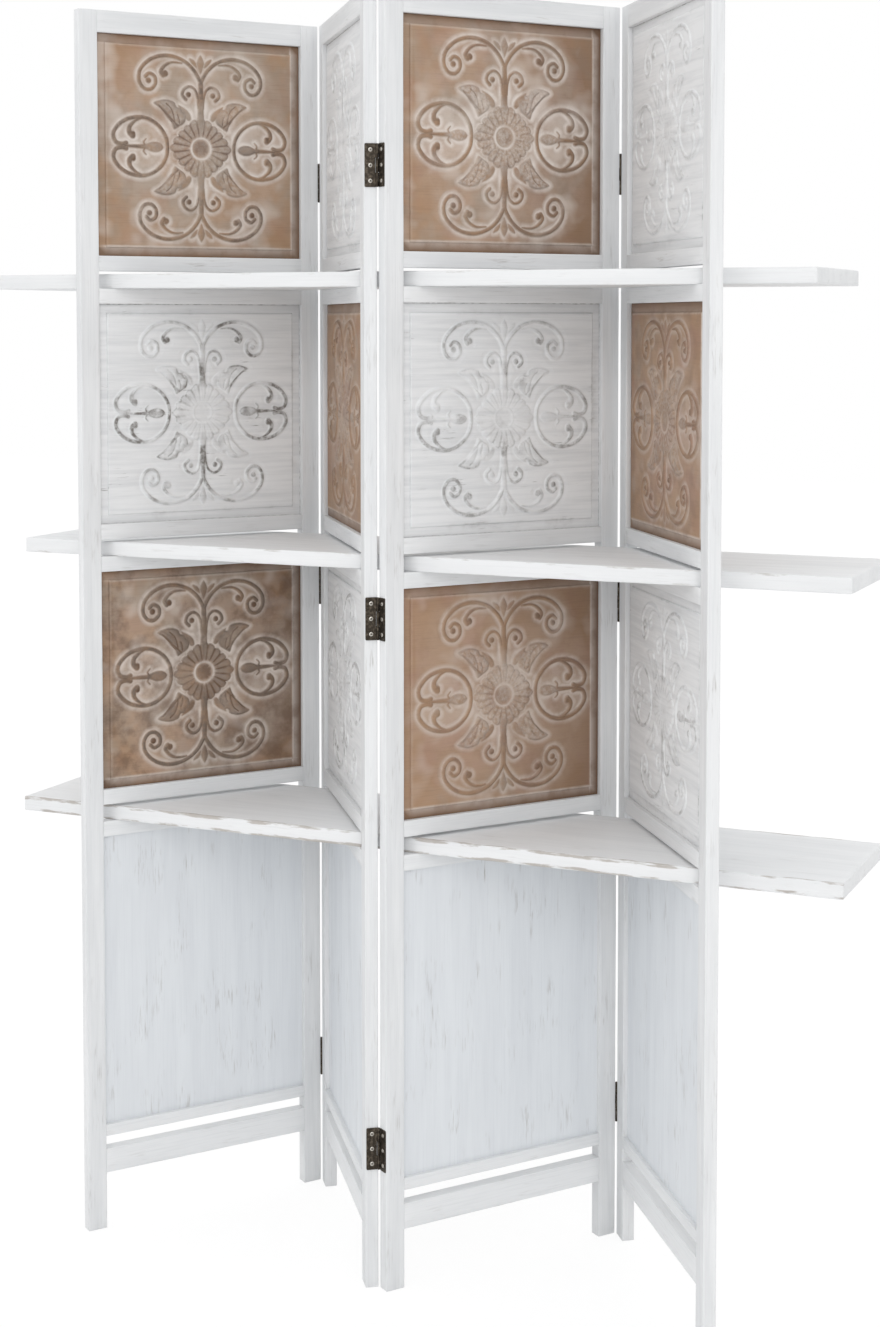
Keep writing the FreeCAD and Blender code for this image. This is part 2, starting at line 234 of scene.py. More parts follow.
def solid_boxes(node, place):
    """The boxes of a CAD node's separate solids in a frame, from the lowest to the highest."""
    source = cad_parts[node]
    work = bmesh.new()
    work.from_mesh(source.data)
    work.transform(place.inverted() @ source.matrix_world)
    bmesh.ops.remove_doubles(work, verts=work.verts, dist=SAME_POINT)
    unseen = set(work.verts)
    boxes = []
    while unseen:
        solid = [unseen.pop()]
        for vert in solid:
            beside = {edge.other_vert(vert) for edge in vert.link_edges} & unseen
            unseen -= beside
            solid += beside
        corners = np.array([vert.co for vert in solid])
        boxes.append((corners.min(axis=0), corners.max(axis=0)))
    work.free()
    return sorted(boxes, key=lambda box: tuple(np.round(box[0][[Z, X, Y]], 5)))


def ring_faces(starts, size):
    """The faces between rings of points, each ring and the next, from the numbers of their first points."""
    return [
        (low + i, low + (i + 1) % size, high + (i + 1) % size, high + i)
        for low, high in zip(starts, starts[1:]) for i in range(size)
    ]


# How fast the rubbing of edges changes: per metre along a beam, from beam to beam and from edge to edge.
RUB_RATES = (31, 7.3, 2.9)

# Radii of rubbed edges, as shares of the arris: on ends, the least, the mean, and how far noise swings it.
END_RUB, LEAST_RUB, MEAN_RUB, RUB_SWING = 0.4, 0.15, 0.9, 0.8


def beam(low, high, along, arris, fade, seed, step=15 * MM):
    """A straight member with unevenly rubbed edges: points, faces, and how worn each point is."""
    across = [axis for axis in AXES if axis != along]
    middle = [(low[axis] + high[axis]) / 2 for axis in across]
    half = [(high[axis] - low[axis]) / 2 for axis in across]
    start, end = low[along], high[along]
    run = end - start - 2 * arris
    count = max(2, round(run / step))
    # Each ring of points has a place along the beam, an inset and its wear. Three rings make an end.
    rings = [
        (start, arris + min(fade, 0.5 * min(half)), 0),
        (start, arris, 1),
        (start + 0.3 * arris, 0.3 * arris, 1),
    ]
    rings += [(start + arris + run * i / count, 0, 1) for i in range(count + 1)]
    rings += [(start + end - place, inset, worn) for place, inset, worn in reversed(rings[:3])]
    points, wear = [], []
    for place, inset, worn in rings:
        flat = [size - inset for size in half]
        bare = [size - min(fade, 0.7 * size) for size in flat]
        for corner, (p, q) in enumerate(((1, 1), (-1, 1), (-1, -1), (1, -1))):
            rub = noise.noise(Vector(value * rate for value, rate in zip((place, seed, corner), RUB_RATES)))
            radius = max(LEAST_RUB * arris, arris * (MEAN_RUB + RUB_SWING * rub))
            if inset:
                radius = END_RUB * arris
            turns = [radians(turn) for turn in (0, 45, 90)]
            if p * q > 0:
                sides = [(sign * p * bare[0], q * flat[1], 0) for sign in (1, -1)]
            else:
                turns.reverse()
                sides = [(p * flat[0], sign * q * bare[1], 0) for sign in (1, -1)]
            inner = [size - radius for size in flat]
            rounded = [
                (p * (inner[0] + radius * cos(t)), q * (inner[1] + radius * sin(t)), worn) for t in turns
            ]
            for first, second, value in rounded + sides:
                point = [0.0, 0.0, 0.0]
                point[along] = place
                point[across[0]] = middle[0] + first
                point[across[1]] = middle[1] + second
                points.append(point)
                wear.append(value)
    size = len(points) // len(rings)
    faces = ring_faces(range(0, len(points), size), size)
    faces.append(tuple(reversed(range(size))))
    faces.append(tuple(range(len(points) - size, len(points))))
    return points, faces, wear


# Materials

MIX_FACTOR, MIX_A, MIX_B, MIX_RESULT = 0, 6, 7, 2


def add(tree, kind, inputs=None, **settings):
    """Adds a shader node with its settings, sets or links its inputs, and returns its outputs."""
    node = tree.nodes.new(f"ShaderNode{kind}")
    for name, value in settings.items():
        setattr(node, name, value)
    for key, value in (inputs or {}).items():
        if isinstance(value, bpy.types.NodeSocket):
            tree.links.new(value, node.inputs[key])
        else:
            node.inputs[key].default_value = value
    return node.outputs


def new_material(name):
    """An empty material and its node tree."""
    material = bpy.data.materials.new(name)
    material.use_nodes = True
    material.node_tree.nodes.clear()
    return material, material.node_tree


def mottle(tree, seed, width, run=None, along=X, detail=3.0):
    """Noise from 0 to 1 in patches that are some millimetres wide, and may run longer along one axis."""
    sizes = [MM * (run if run and axis == along else width) for axis in AXES]
    place = {"Scale": [1 / size for size in sizes], "Location": (seed, 2.3 * seed, -seed)}
    where = add(tree, "Mapping", {"Vector": add(tree, "TexCoord")["Object"], **place})["Vector"]
    return add(tree, "TexNoise", {"Vector": where, "Scale": 1, "Detail": detail, "Roughness": 0.6})["Fac"]


def amount(tree, *masks):
    """The product of masks. A mask is a socket, the name of a value at the mesh's points, or one of these
    with the two levels that it is spread between and what they turn into."""
    product = None
    for mask in masks:
        level, *spread = mask if isinstance(mask, tuple) else (mask,)
        if isinstance(level, str):
            level = add(tree, "Attribute", attribute_name=level)["Fac"]
        if spread:
            ends = dict(zip(("From Min", "From Max", "To Min", "To Max"), spread))
            level = add(tree, "MapRange", {"Value": level, **ends})["Result"]
        if product is None:
            product = level
        else:
            product = add(tree, "Math", {0: product, 1: level}, operation="MULTIPLY")["Value"]
    return product


def coats(tree, base, *layers):
    """Colours laid over a base in turn. A layer is a colour and the masks that say how far it covers."""
    base = (*base, 1.0)
    for over, *masks in layers:
        inputs = {MIX_FACTOR: amount(tree, *masks), MIX_A: base, MIX_B: (*over, 1.0)}
        base = add(tree, "Mix", inputs, data_type="RGBA")[MIX_RESULT]
    return base


def surface(tree, base, roughness, height, depth, metallic=0.0):
    """Ends a material with its shader and a height map that is some millimetres deep."""
    bump = add(tree, "Bump", {"Height": height, "Distance": depth * MM, "Strength": 1.0})["Normal"]
    inputs = {"Base Color": base, "Roughness": roughness, "Metallic": metallic, "Normal": bump}
    add(tree, "OutputMaterial", {"Surface": add(tree, "BsdfPrincipled", inputs)["BSDF"]})


# White wash on softwood, brushed along the grain and rubbed back. The eye sees a dull white with faint
# streaks along the grain, short grey scuffs in groups, and grey brown wood in broken patches along edges.
# Brush marks are finer on the real screen, and are drawn wide enough to show.
def white_wash(name, along, seed, streaked=0.4, wear=0, scuffs=0.3, cool=False):
    wood = bpy.context.scene.screen_wood
    paint, shade = (wood.cool_paint, wood.cool_shade) if cool else (wood.paint, wood.shade)
    material, tree = new_material(name)
    streaks = mottle(tree, seed, 2.4, 110, along, 4.0)
    bands = mottle(tree, seed + 3.1, 26, 260, along)
    groups = mottle(tree, seed + 5.9, 32, 75, along, 2.0)
    marks = mottle(tree, seed + 7.7, 2.8, 36, along)
    rubbing = mottle(tree, seed + 11.9, 9, 48, along, 5.0)
    places = mottle(tree, seed + 13.7, 60, 130, along, 2.0)
    chips = amount(tree, rubbing, ("wear", 0, 0.8, 0.45, 1), (places, 0.38, 0.56, 1.0 - 0.15 * wear, 1))
    base = coats(
        tree, paint,
        (shade, (bands, 0.38, 0.68, 0, 1.2 * streaked)),
        (shade, (streaks, 0.5, 0.74, 0, streaked)),
        (wood.scuff, (marks, 0.52, 0.72, 0, scuffs), (groups, 0.54, 0.7, 0, 1)),
        (wood.bare, (chips, 0.62 - 0.22 * wear, 0.74 - 0.24 * wear, 0, 0.3 + 0.4 * wear)),
    )
    surface(tree, base, amount(tree, (bands, 0.3, 0.7, 0.5, 0.66)), streaks, 0.12)
    return material


# Softwood, carved, stained brown, and washed over with thin white that was wiped off. The eye sees a blotchy
# brown with a milky bloom round and between the ornament, and greyed ridges with dark veins and knobs. Painted
# shade darkens the margins, the line beside the frame and the right side, and a painted highlight lies on the
# field's bevelled edge. The grit is finer on the real boards, and is drawn as coarse as it needs to show.
def stained_finish(name, seed, washed, lined, warm, deep, painted_shade_to_right):
    carving = bpy.context.scene.screen_carving
    wash, dark = carving.wash, carving.dark_stain_and_shade
    material, tree = new_material(name)
    blotches = mottle(tree, seed, 80)
    tints = mottle(tree, seed + 5.3, 45)
    wiping = mottle(tree, seed + 9.1, 30, detail=4.0)
    haze = mottle(tree, seed + 7.9, 70, detail=2.0)
    flecks = mottle(tree, seed + 4.4, 5, detail=4.0)
    grit = mottle(tree, seed + 2.7, 2.2, detail=4.0)
    grain = mottle(tree, seed + 1.3, 1.8, 40)
    across = add(tree, "SeparateXYZ", {0: add(tree, "TexCoord")["Object"]})["X"]
    rubbed = (tints, 0.4, 0.58, 0.35 * lined, lined)
    broken = (flecks, 0.32, 0.64, 0.4, 1)
    milky = washed * (1 - 0.6 * lined)
    base = coats(
        tree, carving.stain,
        (carving.grey_stain, (blotches, 0.35 + 0.25 * warm, 0.5 + 0.25 * warm, 0, 1)),
        (carving.rose_stain, (tints, 0.48, 0.66, 0.1 * warm, 0.2 + 0.5 * warm)),
        (dark, (wiping, 0.36, 0.56, deep, 0.1 * deep)),
        (dark, (grain, 0.48, 0.72, 0, 0.2)),
        # Painted shade: the dark colour laid on more and more towards the board's right side.
        (dark, (across, -60 * MM, 150 * MM, 0, painted_shade_to_right)),
        (wash, (haze, 0.56, 0.7, 0, 0.45 * washed)),
        (wash, "halo", (wiping, 0.32, 0.56, 0.45 * washed, washed)),
        (carving.ridge_stain, ("body", 0, 1, 0, 0.5), rubbed, broken),
        (wash, ("body", 0, 1, 0, milky), (flecks, 0.34, 0.66, 0.2, 1)),
        (carving.ridge_stain, "ridge", rubbed, broken),
        (dark, ("vein", 0, 1, 0, 0.8), rubbed),
        # Painted shade in the recessed margins, strongest on the sides that get the least light.
        (dark, "margin", (tints, 0.3, 0.6, 0.95, 0.7)),
        # Painted highlight: a pale line, in the wash colour, where the field's bevel catches the light.
        (wash, "rim", (wiping, 0.35, 0.55, 0.4, 0.85)),
        # Painted shadow in the line beside the frame.
        (dark, "seam", (flecks, 0.3, 0.6, 0.5, 1)),
    )
    surface(tree, base, amount(tree, (wiping, 0.3, 0.7, 0.45, 0.6)), grit, 0.15)
    return material


# Softwood, carved, painted white and rubbed back. The eye sees white with grey streaks along the grain, and
# ridges and field edges that are rubbed through to grey wood here and there. The same grey is painted shadow
# in the line beside the frame.
def painted_finish(name, seed, worn):
    wood, grey = bpy.context.scene.screen_wood, bpy.context.scene.screen_carving.worn
    material, tree = new_material(name)
    streaks = mottle(tree, seed, 8, 170, detail=5.0)
    patches = mottle(tree, seed + 5.3, 48, detail=2.0)
    rubbing = mottle(tree, seed + 9.1, 7, detail=4.0)
    scrapes = mottle(tree, seed + 3.9, 2.6, 46)
    rubbed = (patches, 0.42, 0.58, 0.1 * worn, worn)
    broken = (rubbing, 0.34, 0.6, 0.25, 1)
    base = coats(
        tree, wood.paint,
        (wood.shade, (streaks, 0.42, 0.7, 0, 0.7)),
        (grey, ("body", 0, 1, 0, 0.15), rubbed, broken),
        (grey, ("vein", 0, 1, 0, 0.6), rubbed, broken),
        (grey, ("ridge", 0.1, 0.9, 0, 0.9), rubbed, broken),
        (grey, "rim", (patches, 0.5, 0.64, 0, 0.4), (rubbing, 0.38, 0.6, 0.3, 1)),
        (grey, (scrapes, 0.6, 0.7, 0, worn), (patches, 0.58, 0.68, 0, 0.8)),
        # Painted shadow in the line beside the frame, in the worn grey.
        (grey, "seam", (rubbing, 0.4, 0.62, 0.1, 0.8)),
    )
    surface(tree, base, 0.6, streaks, 0.08)
    return material


# Steel, stamped and bronzed dark. The eye sees nearly black metal with a dull gleam and brown rubbed places.
def bronzed_steel():
    hinge = bpy.context.scene.screen_hinge
    material, tree = new_material("steel, stamped and bronzed")
    patches = mottle(tree, 1.7, 4)
    base = coats(tree, hinge.bronze, (hinge.rubbed, (patches, 0.45, 0.75, 0, 1)))
    surface(tree, base, amount(tree, (patches, 0.3, 0.7, 0.32, 0.5)), patches, 0.05, metallic=0.85)
    return material


# Steel, turned and zinc plated. The eye sees bright screws with scratches, drawn wide enough to show.
def plated_steel():
    hinge = bpy.context.scene.screen_hinge
    material, tree = new_material("steel, turned and zinc plated")
    scratches = mottle(tree, 3.3, 0.5, 2, Z)
    base = coats(tree, hinge.steel, (hinge.rubbed, (scratches, 0.4, 0.8, 0, 0.4)))
    surface(tree, base, amount(tree, (scratches, 0.3, 0.7, 0.25, 0.45)), scratches, 0.03, metallic=1)
    return material


# Ornament: every shape is drawn in millimetres in one quarter of the board, from its middle, and mirrored.

# Scrolls: half widths at the two ends, and the points that each passes through.
SCROLLS = {
    "great scroll": ((3.8, 3.6), (
        (0, 90), (3, 98), (11, 110), (22, 119.5), (36, 125.5), (52, 127.5), (69, 124), (83, 115.5),
        (91.5, 104), (92.5, 91), (86, 81), (76, 79.5), (68.5, 87), (69, 97), (77, 101.5), (83, 97),
    )),
    "inner curl": ((2.0, 4.2), ((28, 118), (43, 118.5), (54, 113.5), (60, 105.5), (57, 99.5))),
    "stem curl": ((2.5, 3.6), ((3.5, 56), (4.5, 70), (8, 81), (16, 86.5), (25, 82.5), (28, 74), (22.5, 68))),
    "stem": ((5.6, 4.6), ((0, 40), (0, 66), (0, 92))),
    "heart": ((3.5, 4.0), (
        (50.5, 0), (52.5, 13), (61, 27), (75, 37), (91, 40.5), (109, 37.5), (123, 29), (131, 16.5),
        (128, 5.5), (119, 2.2), (112, 4),
    )),
    "heart curl": ((1.6, 5.2), ((84, 40), (97, 36), (106, 28), (107.5, 20), (102.5, 14.5))),
    "spear": ((4.2, 2.6), ((82, 0), (98, 0), (114, 0))),
    "spear leaf": ((2.6, 1.6), ((84, 1), (86.5, 6.5), (82.5, 11))),
    "hub ring": ((2.1, 2.1), tuple((14 * cos(a), 14 * sin(a)) for a in np.linspace(0, pi / 2, 7))),
}

# Knobs at the scrolls' ends: middles and radii.
KNOBS = ((78.5, 91.5, 5.2), (53.5, 102.5, 5.6), (18.5, 75, 5.0), (102, 17, 4.8))

# Leaves: how bold each is, and its closed outline.
LEAVES = {
    "corner leaf": (1.0, (
        (40.5, 25), (44.5, 34), (51.5, 44), (60.5, 53), (72.5, 61), (63, 66), (53, 67.5), (44, 66),
        (38.5, 63), (36, 57.5), (30, 57), (27.5, 51), (22.5, 48.5), (22, 41), (24.5, 34.5), (32, 29.5),
    )),
    "corner lobe": (0.35, (
        (36, 61), (28, 58.5), (20, 53.5), (14.5, 46.5), (14, 39.5), (19.5, 37.5), (25, 43), (31, 51),
    )),
    "crest leaf": (0.45, ((0, 103), (4.5, 112), (6.5, 121), (0, 132), (-6.5, 121), (-4.5, 112))),
    "crest side leaf": (0.3, ((5, 112), (12, 115.5), (18, 123), (17, 127), (9.5, 124.5), (5.5, 119))),
    "spear bud": (1.0, ((56, 0), (60, 5.5), (68, 8), (78, 6.5), (88, 0), (78, -6.5), (68, -8), (60, -5.5))),
}

# Veins cut into the corner leaves: half width, and the points that each passes through.
VEINS = (
    (0.9, ((35, 31), (47, 42), (64, 58))),
    (0.8, ((40, 36), (42, 46), (46, 55), (53, 61))),
    (0.7, ((33, 34), (33.5, 40), (36, 46))),
    (0.7, ((44, 36), (52, 45), (60, 55))),
)

# The flower: half width and half height, how square its outline is, and its petals.
FLOWER = (48.0, 46.0, 1.35, 20)

# How far in from its outline each kind of form reaches its full height.
SCROLL_RISE, KNOB_RISE, LEAF_RISE, PETAL_RISE = 3.0, 3.5, 3.0, 4.0

# How far in from the outline of a scroll or knob its rubbed ridge starts, and how wide it fades in.
RIDGE = (0.4, 2.0)

# Radii about the flower's middle: its dark eye, its hub, the pale ring, and where the petals start to rise.
EYE, HUB, RING, PETAL_START = 12, 12.5, 14.8, 13


def smooth_line(points, closed=False, steps=7):
    """Points on a smooth curve through some points."""
    points = np.array(points, dtype=float)
    count = len(points)
    line = []
    for i in range(count if closed else count - 1):
        before, start, end, after = (
            points[j % count] if closed else points[min(max(j, 0), count - 1)] for j in range(i - 1, i + 3)
        )
        for t in np.arange(steps) / steps:
            line.append(
                0.5 * (2 * start + (end - before) * t + (2 * before - 5 * start + 4 * end - after) * t**2
                       + (3 * start - before - 3 * end + after) * t**3)
            )
    line.append(points[0] if closed else points[-1])
    return np.array(line)


def distance(where, line, half_widths=(0.0, 0.0)):
    """How far each place is outside a line that is thicker at one end than at the other."""
    nearest = np.full(len(where), FAR)
    run = np.concatenate([[0], np.cumsum(np.linalg.norm(np.diff(line, axis=0), axis=1))])
    for i, (start, end) in enumerate(zip(line[:-1], line[1:])):
        way = end - start
        t = np.clip((where - start) @ way / max(way @ way, 1 / FAR), 0, 1)
        part = (run[i] + t * (run[i + 1] - run[i])) / run[-1]
        width = half_widths[0] + part * (half_widths[1] - half_widths[0])
        nearest = np.minimum(nearest, np.linalg.norm(where - start - t[:, None] * way, axis=1) - width)
    return nearest


def swell(level):
    """A soft rise from 0 to 1."""
    level = np.clip(level, 0, 1)
    return level * level * (3 - 2 * level)


def ramp(gap, start, width):
    """A straight rise from 0 to 1 inside an outline, from some way in."""
    return np.clip((-start - gap) / width, 0, 1)


def bell(value, middle, width):
    """1 at the middle, and falling off to both sides."""
    return np.exp(-(((value - middle) / width) ** 2))


def lift(values, level):
    """Raises values to a level wherever that is higher."""
    np.maximum(values, level, out=values)


def inside(where, outline):
    """Which places are inside a closed outline."""
    odd = np.zeros(len(where), dtype=bool)
    for (x0, z0), (x1, z1) in zip(outline[:-1], outline[1:]):
        if z0 != z1:
            crosses = (z0 > where[:, 1]) != (z1 > where[:, 1])
            odd ^= crosses & (where[:, 0] < x0 + (where[:, 1] - z0) / (z1 - z0) * (x1 - x0))
    return odd


def ornament(x, z):
    """The carving at places in millimetres from a board's middle. Gives how high it stands and where its
    ridges, veins, bodies and pale ring are, from 0 to 1, how far outside it each place is, and which places
    the hearts enclose."""
    where = np.stack([np.abs(x), np.abs(z)], axis=1)
    height, ridge, vein, body = np.zeros((4, len(where)))
    gaps = [distance(where, smooth_line(points), half_widths) for half_widths, points in SCROLLS.values()]
    for gap in gaps:
        lift(height, swell(-gap / SCROLL_RISE))
        lift(ridge, ramp(gap, *RIDGE))
    for x_knob, z_knob, size in KNOBS:
        gap = np.hypot(where[:, 0] - x_knob, where[:, 1] - z_knob) - size
        lift(height, swell(-gap / KNOB_RISE))
        lift(ridge, ramp(gap, *RIDGE))
        lift(vein, ramp(gap, 1, 2))
        gaps.append(gap)
    for name, (bold, points) in LEAVES.items():
        outline = smooth_line(points, closed=True, steps=4)
        gap = distance(where, outline)
        gap = np.where(inside(where, outline), -gap, gap)
        rise = swell(-gap / LEAF_RISE)
        if name == "corner leaf":
            for width, line in VEINS:
                cut = bell(distance(where, smooth_line(line)), 0, width) * (gap < 0)
                rise *= 1 - 0.6 * cut
                lift(vein, cut)
        lift(height, (0.4 + 0.5 * bold) * rise)
        lift(ridge, 0.9 * bold * bell(gap, -2.2, 1.2))
        lift(body, bold * ramp(gap, 0, 2))
        gaps.append(gap)
    wide, tall, square, petals = FLOWER
    u, v = where[:, 0] / wide, where[:, 1] / tall
    out = (u**square + v**square) ** (1 / square)
    turn = np.arctan2(v, u) * petals / (2 * pi)
    petal = np.abs(turn - np.round(turn)) * 2
    edge = 0.89 + 0.11 * np.sqrt(np.clip(1 - petal**2, 0, 1))
    gap = (out - edge) * 0.5 * (wide + tall)
    gaps.append(gap)
    bulge = np.sqrt(np.clip(1 - (1.02 * petal) ** 2, 0, 1)) * (1 - 0.45 * bell(petal, 0, 0.22))
    radius = np.hypot(where[:, 0], where[:, 1])
    beyond_hub = ramp(-radius, PETAL_START, 8)
    lift(height, 0.95 * (swell(-gap / PETAL_RISE) * (0.5 + 0.5 * bulge) * (0.35 + 0.65 * beyond_hub)))
    lift(ridge, 0.7 * bell(gap, -2.4, 1.1))
    in_petals = ramp(gap, 0, 2) * beyond_hub
    lift(vein, in_petals * bell(petal, 1, 0.3))
    lift(vein, 0.6 * ramp(radius, -EYE, 2))
    lift(body, in_petals)
    lift(body, ramp(radius, -HUB, 2))
    ring = bell(radius, RING, 2.3)
    # The ring is pale, not rubbed dark.
    for values in (ridge, vein, body):
        values *= 1 - ring
    heart = smooth_line(SCROLLS["heart"][1])
    enclosed = inside(where, np.concatenate([heart, heart[:1]]))
    return {
        "height": height, "ridge": ridge, "vein": vein, "body": body, "ring": ring,
        "outside": np.min(gaps, axis=0), "enclosed": enclosed,
    }


# Frames


class SCREEN_OT_frames(bpy.types.Operator):
    """Makes the stiles and rails of the four panels"""

    bl_idname = "screen.frames"
    bl_label = "Panel frames"

    def execute(self, context):
        wood = context.scene.screen_wood
        upright = white_wash("white washed pine, stiles", Z, STILE_FINISH, scuffs=0.5)
        level = white_wash("white washed pine, rails", X, RAIL_FINISH, scuffs=0.5)
        for number, panel in enumerate(PANELS):
            place = panel_place(panel)
            stiles = []
            for side in ("left", "right"):
                node = f"{panel}_{side}_stile"
                stiles.append(solid_boxes(node, place)[0])
                stile = beam(*stiles[-1], Z, wood.arris, wood.fade, number * 2 + len(stiles))
                new_piece(node, "wood", [stile], upright, panel, place)
            left, right = stiles
            for kind in ("top_rail", "shelf_rails", "lower_rail", "bottom_rail"):
                node = f"{panel}_{kind}"
                rails = []
                for i, (low, high) in enumerate(solid_boxes(node, place)):
                    low[X], high[X] = left[1][X], right[0][X]
                    low[Y], high[Y] = left[0][Y], left[1][Y]
                    seed = RAIL_RUBBING + number * RAILS + i
                    rails.append(beam(low, high, X, wood.arris, wood.fade, seed))
                new_piece(node, "wood", rails, level, panel, place)
        return {"FINISHED"}


class SCREEN_OT_lower_boards(bpy.types.Operator):
    """Makes the plain boards at the foot of the panels"""

    bl_idname = "screen.lower_boards"
    bl_label = "Lower boards"

    def execute(self, context):
        wood = context.scene.screen_wood
        for number, panel in enumerate(PANELS):
            node = f"{panel}_lower_board"
            place = panel_place(panel)
            name = f"white washed pine, {panel} lower board"
            finish = white_wash(name, Z, LOWER_FINISH + number, streaked=0.25, scuffs=0.7, cool=True)
            box = solid_boxes(node, place)[0]
            board = beam(*box, Z, 0.3 * wood.arris, wood.fade, LOWER_RUBBING + number)
            new_piece(node, "wood", [board], finish, panel, place)
        return {"FINISHED"}


# Carved boards

# The step at the field's foot, and how deep the shadow line beside the frame is.
FIELD_STEP = 0.1 * MM
SEAM_DEPTH = 0.8 * MM

# Strengths and, in millimetres, widths of the wash: layers round the ornament, and one on its edge.
HALO = ((0.5, 3.2), (0.3, 9))
EDGE_WASH = (0.8, 1.2)

# Most wash lies between the flower and the leaves: its strength, distance from the middle and width.
CORNER_WASH = (0.4, 54, 12)
HEART_WASH = 0.25

# How strong the painted highlight on the right, left, upper and lower bevels is, and the painted shade in the
# margins beside them, set by how the light falls on each side.
BEVEL_LIGHT_AND_SHADE = ((1.0, 0.9), (0.12, 0.12), (0.4, 0.6), (0.8, 0.7))


def carved_board(carving, size, left):
    """One board, carved on both faces to a share of the full depth, as a mesh about its own middle."""
    half = size / 2
    margin = carving.groove + carving.field_margin
    field = half[X] - margin, half[Z] - margin
    lines = []
    for tongue, reach in zip((half[X], half[Z]), field):
        carved = reach - carving.bevel
        inner = np.linspace(-carved, carved, round(2 * carved / carving.grid) + 1)
        opening = reach + carving.field_margin
        rim = [
            reach - 0.5 * carving.bevel, reach, reach + 1.2 * FIELD_STEP, opening - carving.seam,
            opening - 0.2 * carving.seam, tongue,
        ]
        lines.append(np.concatenate([[-v for v in reversed(rim)], inner, rim]))
    x, z = (values.ravel() for values in np.meshgrid(*lines))
    depth = board_depth(carving, x, z, field, half[Y], left)
    points = np.concatenate([np.stack([x, -depth, z], 1), np.stack([x, depth, z], 1)])
    count = len(x)
    grid = np.arange(count).reshape(len(lines[1]), len(lines[0]))
    cells = np.stack([grid[:-1, :-1], grid[:-1, 1:], grid[1:, 1:], grid[1:, :-1]], axis=2).reshape(-1, 4)
    faces = np.stack([cells, count + cells[:, ::-1]], axis=1).reshape(-1, 4).tolist()
    border = np.concatenate([grid[0], grid[1:, -1], grid[-1, -2::-1], grid[-2:0:-1, 0]]).tolist()
    faces += [(b, a, count + a, count + b) for a, b in zip(border, border[1:] + border[:1])]
    mesh = bpy.data.meshes.new("carving")
    mesh.from_pydata(points.tolist(), [], faces)
    # A band four cells wide along the field's edge keeps all its faces.
    rim = field_inset(x, z, field) < carving.bevel + 4 * carving.grid
    mesh = thinned(mesh, np.flatnonzero(~np.concatenate([rim, rim])), carving.kept)
    flat = np.empty(len(mesh.vertices) * 3)
    mesh.vertices.foreach_get("co", flat)
    x, _, z = flat.reshape(-1, 3).T
    set_values(mesh, board_masks(carving, x, z, field))
    mesh.shade_smooth()
    mesh.set_sharp_from_angle(angle=SHARP_CARVING_ANGLE)
    return mesh


def field_inset(x, z, field):
    """How far inside the raised field's edge each place is."""
    return np.minimum(field[0] - np.abs(x), field[1] - np.abs(z))


def frame_seam(carving, edge):
    """The shadow line beside the frame: 0 where it starts and 1 near the frame."""
    return np.clip((carving.seam - carving.field_margin - edge) / (0.8 * carving.seam), 0, 1)


def board_depth(carving, x, z, field, crest, left):
    """How far the board's face stands from its middle plane."""
    edge = field_inset(x, z, field)
    bevel = carving.bevel
    levels = [carving.tongue / 2, crest - bevel, crest - 0.4 * bevel, crest]
    face = np.interp(edge, [-FIELD_STEP, 0, 0.5 * bevel, bevel], levels)
    face -= SEAM_DEPTH * frame_seam(carving, edge)
    carved = ornament(x / MM, z / MM)
    cut = swell(1 - np.clip(carved["outside"], 0, None) * MM / carving.trough_width) * carving.trough
    return face + left * (carved["height"] * (carving.relief + carving.trough) - cut * (edge > bevel))


def board_masks(carving, x, z, field):
    """Where the finishes and the painted light on the field's edges change, from 0 to 1 at each point."""
    carved = ornament(x / MM, z / MM)
    outside = carved["outside"]
    halo = sum(strength * bell(outside, 0, width) for strength, width in HALO)
    halo += HEART_WASH * carved["enclosed"]
    halo += CORNER_WASH[0] * bell(np.hypot(x, z) / MM, *CORNER_WASH[1:])
    halo = np.where(outside > 0, halo, EDGE_WASH[0] * bell(outside, 0, EDGE_WASH[1]))
    lift(halo, carved["ring"])
    rim, margin = np.zeros((2, len(x)))
    # Painted light by side: a pale highlight along each bevel, and shade in the margin beside it.
    for edge, (pale, dark) in zip((field[0] - x, field[0] + x, field[1] - z, field[1] + z), BEVEL_LIGHT_AND_SHADE):
        lift(rim, pale * bell(edge, 1.2 * MM, 2.0 * MM))
        lift(margin, dark * ramp(edge, 0, FIELD_STEP))
    edge = field_inset(x, z, field)
    return {
        **{key: carved[key] for key in ("ridge", "vein", "body")}, "halo": np.clip(halo, 0, 1),
        "rim": rim * (edge > -1 * MM), "margin": margin, "seam": frame_seam(carving, edge),
    }


def thinned(mesh, points, kept):
    """The mesh with a share of its faces, fewest where it is flat, among some of its points."""
    obj = linked("carving", mesh)
    obj.vertex_groups.new(name="thinned").add(points.tolist(), 1.0, "REPLACE")
    modifier = obj.modifiers.new("thin", "DECIMATE")
    modifier.ratio = kept
    modifier.vertex_group = "thinned"
    result = bpy.data.meshes.new_from_object(obj.evaluated_get(bpy.context.evaluated_depsgraph_get()))
    bpy.data.objects.remove(obj)
    bpy.data.meshes.remove(mesh)
    return result


